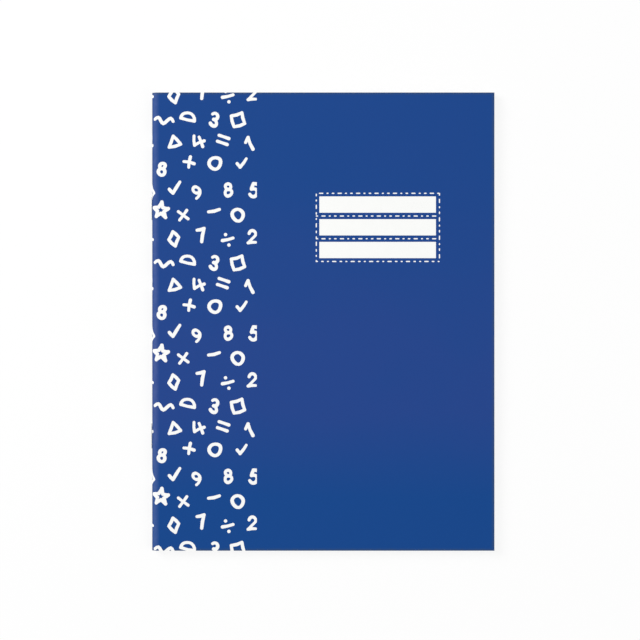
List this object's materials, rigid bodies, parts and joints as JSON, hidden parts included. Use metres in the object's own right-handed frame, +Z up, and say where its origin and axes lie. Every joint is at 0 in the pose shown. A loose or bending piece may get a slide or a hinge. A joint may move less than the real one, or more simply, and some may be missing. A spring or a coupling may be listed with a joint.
{
  "type": "stapled exercise book",
  "caption": "Saddle-stitched school exercise book with a printed card cover, folded ruled sheets and wire staples; the cover and leaves open about the fold.",
  "frame": {"origin": "under the middle of the closed book's box, on the surface that the back cover lies on", "axes": "+X from the spine to the fore-edge, +Y from the tail to the head, +Z up out of the front cover"},
  "size_m": [0.18, 0.24, 0.0061],
  "materials": {
    "cover_card": "satin print",
    "paper": "matte",
    "staple_wire": "drawn wire"
  },
  "bodies": {
    "back_cover": {"back_cover": "cover_card"},
    "front_cover": {"front_cover": "cover_card"},
    "binding": {"staples": "staple_wire", "cover_fold": "cover_card", "sheet_folds": "paper"},
    "sheet_01_front_leaf": {"sheet_01_front_leaf": "paper"},
    "sheet_01_back_leaf": {"sheet_01_back_leaf": "paper"},
    "sheet_02_front_leaf": {"sheet_02_front_leaf": "paper"},
    "sheet_02_back_leaf": {"sheet_02_back_leaf": "paper"},
    "sheet_03_front_leaf": {"sheet_03_front_leaf": "paper"},
    "sheet_03_back_leaf": {"sheet_03_back_leaf": "paper"},
    "sheet_04_front_leaf": {"sheet_04_front_leaf": "paper"},
    "sheet_04_back_leaf": {"sheet_04_back_leaf": "paper"},
    "sheet_05_front_leaf": {"sheet_05_front_leaf": "paper"},
    "sheet_05_back_leaf": {"sheet_05_back_leaf": "paper"},
    "sheet_06_front_leaf": {"sheet_06_front_leaf": "paper"},
    "sheet_06_back_leaf": {"sheet_06_back_leaf": "paper"},
    "sheet_07_front_leaf": {"sheet_07_front_leaf": "paper"},
    "sheet_07_back_leaf": {"sheet_07_back_leaf": "paper"},
    "sheet_08_front_leaf": {"sheet_08_front_leaf": "paper"},
    "sheet_08_back_leaf": {"sheet_08_back_leaf": "paper"},
    "sheet_09_front_leaf": {"sheet_09_front_leaf": "paper"},
    "sheet_09_back_leaf": {"sheet_09_back_leaf": "paper"},
    "sheet_10_front_leaf": {"sheet_10_front_leaf": "paper"},
    "sheet_10_back_leaf": {"sheet_10_back_leaf": "paper"},
    "sheet_11_front_leaf": {"sheet_11_front_leaf": "paper"},
    "sheet_11_back_leaf": {"sheet_11_back_leaf": "paper"},
    "sheet_12_front_leaf": {"sheet_12_front_leaf": "paper"},
    "sheet_12_back_leaf": {"sheet_12_back_leaf": "paper"},
    "sheet_13_front_leaf": {"sheet_13_front_leaf": "paper"},
    "sheet_13_back_leaf": {"sheet_13_back_leaf": "paper"},
    "sheet_14_front_leaf": {"sheet_14_front_leaf": "paper"},
    "sheet_14_back_leaf": {"sheet_14_back_leaf": "paper"},
    "sheet_15_front_leaf": {"sheet_15_front_leaf": "paper"},
    "sheet_15_back_leaf": {"sheet_15_back_leaf": "paper"},
    "sheet_16_front_leaf": {"sheet_16_front_leaf": "paper"},
    "sheet_16_back_leaf": {"sheet_16_back_leaf": "paper"},
    "sheet_17_front_leaf": {"sheet_17_front_leaf": "paper"},
    "sheet_17_back_leaf": {"sheet_17_back_leaf": "paper"},
    "sheet_18_front_leaf": {"sheet_18_front_leaf": "paper"},
    "sheet_18_back_leaf": {"sheet_18_back_leaf": "paper"},
    "sheet_19_front_leaf": {"sheet_19_front_leaf": "paper"},
    "sheet_19_back_leaf": {"sheet_19_back_leaf": "paper"},
    "sheet_20_front_leaf": {"sheet_20_front_leaf": "paper"},
    "sheet_20_back_leaf": {"sheet_20_back_leaf": "paper"},
    "sheet_21_front_leaf": {"sheet_21_front_leaf": "paper"},
    "sheet_21_back_leaf": {"sheet_21_back_leaf": "paper"},
    "sheet_22_front_leaf": {"sheet_22_front_leaf": "paper"},
    "sheet_22_back_leaf": {"sheet_22_back_leaf": "paper"},
    "sheet_23_front_leaf": {"sheet_23_front_leaf": "paper"},
    "sheet_23_back_leaf": {"sheet_23_back_leaf": "paper"},
    "sheet_24_front_leaf": {"sheet_24_front_leaf": "paper"},
    "sheet_24_back_leaf": {"sheet_24_back_leaf": "paper"},
    "sheet_25_front_leaf": {"sheet_25_front_leaf": "paper"},
    "sheet_25_back_leaf": {"sheet_25_back_leaf": "paper"}
  },
  "joints": [
    {"name": "front_cover_turn", "type": "hinge", "parent": "back_cover", "child": "front_cover", "pos_m": [-0.08643, 0, 0.00306], "axis": [0, -1, 0], "range_deg": [0, 179.8], "deforming": ["cover_fold", "sheet_folds"]},
    {"name": "binding_turn", "type": "hinge", "parent": "back_cover", "child": "binding", "pos_m": [-0.08643, 0, 0.00306], "axis": [0, -1, 0], "range_deg": [0, 89.9]},
    {"name": "sheet_01_back_turn", "type": "hinge", "parent": "back_cover", "child": "sheet_01_back_leaf", "pos_m": [-0.08643, 0, 0.00306], "axis": [0, -1, 0], "range_deg": [0, 0.15]},
    {"name": "sheet_01_front_turn", "type": "hinge", "parent": "sheet_01_back_leaf", "child": "sheet_01_front_leaf", "pos_m": [-0.08643, 0, 0.00306], "axis": [0, -1, 0], "range_deg": [0, 179.5]},
    {"name": "sheet_02_back_turn", "type": "hinge", "parent": "back_cover", "child": "sheet_02_back_leaf", "pos_m": [-0.08643, 0, 0.00306], "axis": [0, -1, 0], "range_deg": [0, 0.2]},
    {"name": "sheet_02_front_turn", "type": "hinge", "parent": "sheet_02_back_leaf", "child": "sheet_02_front_leaf", "pos_m": [-0.08643, 0, 0.00306], "axis": [0, -1, 0], "range_deg": [0, 179.4]},
    {"name": "sheet_03_back_turn", "type": "hinge", "parent": "back_cover", "child": "sheet_03_back_leaf", "pos_m": [-0.08643, 0, 0.00306], "axis": [0, -1, 0], "range_deg": [0, 0.25]},
    {"name": "sheet_03_front_turn", "type": "hinge", "parent": "sheet_03_back_leaf", "child": "sheet_03_front_leaf", "pos_m": [-0.08643, 0, 0.00306], "axis": [0, -1, 0], "range_deg": [0, 179.3]},
    {"name": "sheet_04_back_turn", "type": "hinge", "parent": "back_cover", "child": "sheet_04_back_leaf", "pos_m": [-0.08643, 0, 0.00306], "axis": [0, -1, 0], "range_deg": [0, 0.3]},
    {"name": "sheet_04_front_turn", "type": "hinge", "parent": "sheet_04_back_leaf", "child": "sheet_04_front_leaf", "pos_m": [-0.08643, 0, 0.00306], "axis": [0, -1, 0], "range_deg": [0, 179.2]},
    {"name": "sheet_05_back_turn", "type": "hinge", "parent": "back_cover", "child": "sheet_05_back_leaf", "pos_m": [-0.08643, 0, 0.00306], "axis": [0, -1, 0], "range_deg": [0, 0.35]},
    {"name": "sheet_05_front_turn", "type": "hinge", "parent": "sheet_05_back_leaf", "child": "sheet_05_front_leaf", "pos_m": [-0.08643, 0, 0.00306], "axis": [0, -1, 0], "range_deg": [0, 179.1]},
    {"name": "sheet_06_back_turn", "type": "hinge", "parent": "back_cover", "child": "sheet_06_back_leaf", "pos_m": [-0.08643, 0, 0.00306], "axis": [0, -1, 0], "range_deg": [0, 0.4]},
    {"name": "sheet_06_front_turn", "type": "hinge", "parent": "sheet_06_back_leaf", "child": "sheet_06_front_leaf", "pos_m": [-0.08643, 0, 0.00306], "axis": [0, -1, 0], "range_deg": [0, 179]},
    {"name": "sheet_07_back_turn", "type": "hinge", "parent": "back_cover", "child": "sheet_07_back_leaf", "pos_m": [-0.08643, 0, 0.00306], "axis": [0, -1, 0], "range_deg": [0, 0.45]},
    {"name": "sheet_07_front_turn", "type": "hinge", "parent": "sheet_07_back_leaf", "child": "sheet_07_front_leaf", "pos_m": [-0.08643, 0, 0.00306], "axis": [0, -1, 0], "range_deg": [0, 178.9]},
    {"name": "sheet_08_back_turn", "type": "hinge", "parent": "back_cover", "child": "sheet_08_back_leaf", "pos_m": [-0.08643, 0, 0.00306], "axis": [0, -1, 0], "range_deg": [0, 0.5]},
    {"name": "sheet_08_front_turn", "type": "hinge", "parent": "sheet_08_back_leaf", "child": "sheet_08_front_leaf", "pos_m": [-0.08643, 0, 0.00306], "axis": [0, -1, 0], "range_deg": [0, 178.8]},
    {"name": "sheet_09_back_turn", "type": "hinge", "parent": "back_cover", "child": "sheet_09_back_leaf", "pos_m": [-0.08643, 0, 0.00306], "axis": [0, -1, 0], "range_deg": [0, 0.55]},
    {"name": "sheet_09_front_turn", "type": "hinge", "parent": "sheet_09_back_leaf", "child": "sheet_09_front_leaf", "pos_m": [-0.08643, 0, 0.00306], "axis": [0, -1, 0], "range_deg": [0, 178.7]},
    {"name": "sheet_10_back_turn", "type": "hinge", "parent": "back_cover", "child": "sheet_10_back_leaf", "pos_m": [-0.08643, 0, 0.00306], "axis": [0, -1, 0], "range_deg": [0, 0.6]},
    {"name": "sheet_10_front_turn", "type": "hinge", "parent": "sheet_10_back_leaf", "child": "sheet_10_front_leaf", "pos_m": [-0.08643, 0, 0.00306], "axis": [0, -1, 0], "range_deg": [0, 178.6]},
    {"name": "sheet_11_back_turn", "type": "hinge", "parent": "back_cover", "child": "sheet_11_back_leaf", "pos_m": [-0.08643, 0, 0.00306], "axis": [0, -1, 0], "range_deg": [0, 0.65]},
    {"name": "sheet_11_front_turn", "type": "hinge", "parent": "sheet_11_back_leaf", "child": "sheet_11_front_leaf", "pos_m": [-0.08643, 0, 0.00306], "axis": [0, -1, 0], "range_deg": [0, 178.5]},
    {"name": "sheet_12_back_turn", "type": "hinge", "parent": "back_cover", "child": "sheet_12_back_leaf", "pos_m": [-0.08643, 0, 0.00306], "axis": [0, -1, 0], "range_deg": [0, 0.7]},
    {"name": "sheet_12_front_turn", "type": "hinge", "parent": "sheet_12_back_leaf", "child": "sheet_12_front_leaf", "pos_m": [-0.08643, 0, 0.00306], "axis": [0, -1, 0], "range_deg": [0, 178.4]},
    {"name": "sheet_13_back_turn", "type": "hinge", "parent": "back_cover", "child": "sheet_13_back_leaf", "pos_m": [-0.08643, 0, 0.00306], "axis": [0, -1, 0], "range_deg": [0, 0.75]},
    {"name": "sheet_13_front_turn", "type": "hinge", "parent": "sheet_13_back_leaf", "child": "sheet_13_front_leaf", "pos_m": [-0.08643, 0, 0.00306], "axis": [0, -1, 0], "range_deg": [0, 178.3]},
    {"name": "sheet_14_back_turn", "type": "hinge", "parent": "back_cover", "child": "sheet_14_back_leaf", "pos_m": [-0.08643, 0, 0.00306], "axis": [0, -1, 0], "range_deg": [0, 0.8]},
    {"name": "sheet_14_front_turn", "type": "hinge", "parent": "sheet_14_back_leaf", "child": "sheet_14_front_leaf", "pos_m": [-0.08643, 0, 0.00306], "axis": [0, -1, 0], "range_deg": [0, 178.2]},
    {"name": "sheet_15_back_turn", "type": "hinge", "parent": "back_cover", "child": "sheet_15_back_leaf", "pos_m": [-0.08643, 0, 0.00306], "axis": [0, -1, 0], "range_deg": [0, 0.85]},
    {"name": "sheet_15_front_turn", "type": "hinge", "parent": "sheet_15_back_leaf", "child": "sheet_15_front_leaf", "pos_m": [-0.08643, 0, 0.00306], "axis": [0, -1, 0], "range_deg": [0, 178.1]},
    {"name": "sheet_16_back_turn", "type": "hinge", "parent": "back_cover", "child": "sheet_16_back_leaf", "pos_m": [-0.08643, 0, 0.00306], "axis": [0, -1, 0], "range_deg": [0, 0.9]},
    {"name": "sheet_16_front_turn", "type": "hinge", "parent": "sheet_16_back_leaf", "child": "sheet_16_front_leaf", "pos_m": [-0.08643, 0, 0.00306], "axis": [0, -1, 0], "range_deg": [0, 178]},
    {"name": "sheet_17_back_turn", "type": "hinge", "parent": "back_cover", "child": "sheet_17_back_leaf", "pos_m": [-0.08643, 0, 0.00306], "axis": [0, -1, 0], "range_deg": [0, 0.95]},
    {"name": "sheet_17_front_turn", "type": "hinge", "parent": "sheet_17_back_leaf", "child": "sheet_17_front_leaf", "pos_m": [-0.08643, 0, 0.00306], "axis": [0, -1, 0], "range_deg": [0, 177.9]},
    {"name": "sheet_18_back_turn", "type": "hinge", "parent": "back_cover", "child": "sheet_18_back_leaf", "pos_m": [-0.08643, 0, 0.00306], "axis": [0, -1, 0], "range_deg": [0, 1]},
    {"name": "sheet_18_front_turn", "type": "hinge", "parent": "sheet_18_back_leaf", "child": "sheet_18_front_leaf", "pos_m": [-0.08643, 0, 0.00306], "axis": [0, -1, 0], "range_deg": [0, 177.8]},
    {"name": "sheet_19_back_turn", "type": "hinge", "parent": "back_cover", "child": "sheet_19_back_leaf", "pos_m": [-0.08643, 0, 0.00306], "axis": [0, -1, 0], "range_deg": [0, 1.05]},
    {"name": "sheet_19_front_turn", "type": "hinge", "parent": "sheet_19_back_leaf", "child": "sheet_19_front_leaf", "pos_m": [-0.08643, 0, 0.00306], "axis": [0, -1, 0], "range_deg": [0, 177.7]},
    {"name": "sheet_20_back_turn", "type": "hinge", "parent": "back_cover", "child": "sheet_20_back_leaf", "pos_m": [-0.08643, 0, 0.00306], "axis": [0, -1, 0], "range_deg": [0, 1.1]},
    {"name": "sheet_20_front_turn", "type": "hinge", "parent": "sheet_20_back_leaf", "child": "sheet_20_front_leaf", "pos_m": [-0.08643, 0, 0.00306], "axis": [0, -1, 0], "range_deg": [0, 177.6]},
    {"name": "sheet_21_back_turn", "type": "hinge", "parent": "back_cover", "child": "sheet_21_back_leaf", "pos_m": [-0.08643, 0, 0.00306], "axis": [0, -1, 0], "range_deg": [0, 1.15]},
    {"name": "sheet_21_front_turn", "type": "hinge", "parent": "sheet_21_back_leaf", "child": "sheet_21_front_leaf", "pos_m": [-0.08643, 0, 0.00306], "axis": [0, -1, 0], "range_deg": [0, 177.5]},
    {"name": "sheet_22_back_turn", "type": "hinge", "parent": "back_cover", "child": "sheet_22_back_leaf", "pos_m": [-0.08643, 0, 0.00306], "axis": [0, -1, 0], "range_deg": [0, 1.2]},
    {"name": "sheet_22_front_turn", "type": "hinge", "parent": "sheet_22_back_leaf", "child": "sheet_22_front_leaf", "pos_m": [-0.08643, 0, 0.00306], "axis": [0, -1, 0], "range_deg": [0, 177.4]},
    {"name": "sheet_23_back_turn", "type": "hinge", "parent": "back_cover", "child": "sheet_23_back_leaf", "pos_m": [-0.08643, 0, 0.00306], "axis": [0, -1, 0], "range_deg": [0, 1.25]},
    {"name": "sheet_23_front_turn", "type": "hinge", "parent": "sheet_23_back_leaf", "child": "sheet_23_front_leaf", "pos_m": [-0.08643, 0, 0.00306], "axis": [0, -1, 0], "range_deg": [0, 177.3]},
    {"name": "sheet_24_back_turn", "type": "hinge", "parent": "back_cover", "child": "sheet_24_back_leaf", "pos_m": [-0.08643, 0, 0.00306], "axis": [0, -1, 0], "range_deg": [0, 1.3]},
    {"name": "sheet_24_front_turn", "type": "hinge", "parent": "sheet_24_back_leaf", "child": "sheet_24_front_leaf", "pos_m": [-0.08643, 0, 0.00306], "axis": [0, -1, 0], "range_deg": [0, 177.2]},
    {"name": "sheet_25_back_turn", "type": "hinge", "parent": "back_cover", "child": "sheet_25_back_leaf", "pos_m": [-0.08643, 0, 0.00306], "axis": [0, -1, 0], "range_deg": [0, 1.35]},
    {"name": "sheet_25_front_turn", "type": "hinge", "parent": "sheet_25_back_leaf", "child": "sheet_25_front_leaf", "pos_m": [-0.08643, 0, 0.00306], "axis": [0, -1, 0], "range_deg": [0, 177.1]}
  ],
  "couplings": [
    {"joint": "binding_turn", "follows": "front_cover_turn", "ratio": 0.5},
    {"joint": "sheet_01_back_turn", "follows": "front_cover_turn", "ratio": 0.00083426},
    {"joint": "sheet_01_front_turn", "follows": "front_cover_turn", "ratio": 0.99833},
    {"joint": "sheet_02_back_turn", "follows": "front_cover_turn", "ratio": 0.0011124},
    {"joint": "sheet_02_front_turn", "follows": "front_cover_turn", "ratio": 0.99778},
    {"joint": "sheet_03_back_turn", "follows": "front_cover_turn", "ratio": 0.0013904},
    {"joint": "sheet_03_front_turn", "follows": "front_cover_turn", "ratio": 0.99722},
    {"joint": "sheet_04_back_turn", "follows": "front_cover_turn", "ratio": 0.0016685},
    {"joint": "sheet_04_front_turn", "follows": "front_cover_turn", "ratio": 0.99666},
    {"joint": "sheet_05_back_turn", "follows": "front_cover_turn", "ratio": 0.0019466},
    {"joint": "sheet_05_front_turn", "follows": "front_cover_turn", "ratio": 0.99611},
    {"joint": "sheet_06_back_turn", "follows": "front_cover_turn", "ratio": 0.0022247},
    {"joint": "sheet_06_front_turn", "follows": "front_cover_turn", "ratio": 0.99555},
    {"joint": "sheet_07_back_turn", "follows": "front_cover_turn", "ratio": 0.0025028},
    {"joint": "sheet_07_front_turn", "follows": "front_cover_turn", "ratio": 0.99499},
    {"joint": "sheet_08_back_turn", "follows": "front_cover_turn", "ratio": 0.0027809},
    {"joint": "sheet_08_front_turn", "follows": "front_cover_turn", "ratio": 0.99444},
    {"joint": "sheet_09_back_turn", "follows": "front_cover_turn", "ratio": 0.0030589},
    {"joint": "sheet_09_front_turn", "follows": "front_cover_turn", "ratio": 0.99388},
    {"joint": "sheet_10_back_turn", "follows": "front_cover_turn", "ratio": 0.003337},
    {"joint": "sheet_10_front_turn", "follows": "front_cover_turn", "ratio": 0.99333},
    {"joint": "sheet_11_back_turn", "follows": "front_cover_turn", "ratio": 0.0036151},
    {"joint": "sheet_11_front_turn", "follows": "front_cover_turn", "ratio": 0.99277},
    {"joint": "sheet_12_back_turn", "follows": "front_cover_turn", "ratio": 0.0038932},
    {"joint": "sheet_12_front_turn", "follows": "front_cover_turn", "ratio": 0.99221},
    {"joint": "sheet_13_back_turn", "follows": "front_cover_turn", "ratio": 0.0041713},
    {"joint": "sheet_13_front_turn", "follows": "front_cover_turn", "ratio": 0.99166},
    {"joint": "sheet_14_back_turn", "follows": "front_cover_turn", "ratio": 0.0044494},
    {"joint": "sheet_14_front_turn", "follows": "front_cover_turn", "ratio": 0.9911},
    {"joint": "sheet_15_back_turn", "follows": "front_cover_turn", "ratio": 0.0047275},
    {"joint": "sheet_15_front_turn", "follows": "front_cover_turn", "ratio": 0.99055},
    {"joint": "sheet_16_back_turn", "follows": "front_cover_turn", "ratio": 0.0050056},
    {"joint": "sheet_16_front_turn", "follows": "front_cover_turn", "ratio": 0.98999},
    {"joint": "sheet_17_back_turn", "follows": "front_cover_turn", "ratio": 0.0052836},
    {"joint": "sheet_17_front_turn", "follows": "front_cover_turn", "ratio": 0.98943},
    {"joint": "sheet_18_back_turn", "follows": "front_cover_turn", "ratio": 0.0055617},
    {"joint": "sheet_18_front_turn", "follows": "front_cover_turn", "ratio": 0.98888},
    {"joint": "sheet_19_back_turn", "follows": "front_cover_turn", "ratio": 0.0058398},
    {"joint": "sheet_19_front_turn", "follows": "front_cover_turn", "ratio": 0.98832},
    {"joint": "sheet_20_back_turn", "follows": "front_cover_turn", "ratio": 0.0061179},
    {"joint": "sheet_20_front_turn", "follows": "front_cover_turn", "ratio": 0.98776},
    {"joint": "sheet_21_back_turn", "follows": "front_cover_turn", "ratio": 0.006396},
    {"joint": "sheet_21_front_turn", "follows": "front_cover_turn", "ratio": 0.98721},
    {"joint": "sheet_22_back_turn", "follows": "front_cover_turn", "ratio": 0.0066741},
    {"joint": "sheet_22_front_turn", "follows": "front_cover_turn", "ratio": 0.98665},
    {"joint": "sheet_23_back_turn", "follows": "front_cover_turn", "ratio": 0.0069522},
    {"joint": "sheet_23_front_turn", "follows": "front_cover_turn", "ratio": 0.9861},
    {"joint": "sheet_24_back_turn", "follows": "front_cover_turn", "ratio": 0.0072303},
    {"joint": "sheet_24_front_turn", "follows": "front_cover_turn", "ratio": 0.98554},
    {"joint": "sheet_25_back_turn", "follows": "front_cover_turn", "ratio": 0.0075083},
    {"joint": "sheet_25_front_turn", "follows": "front_cover_turn", "ratio": 0.98498}
  ]
}
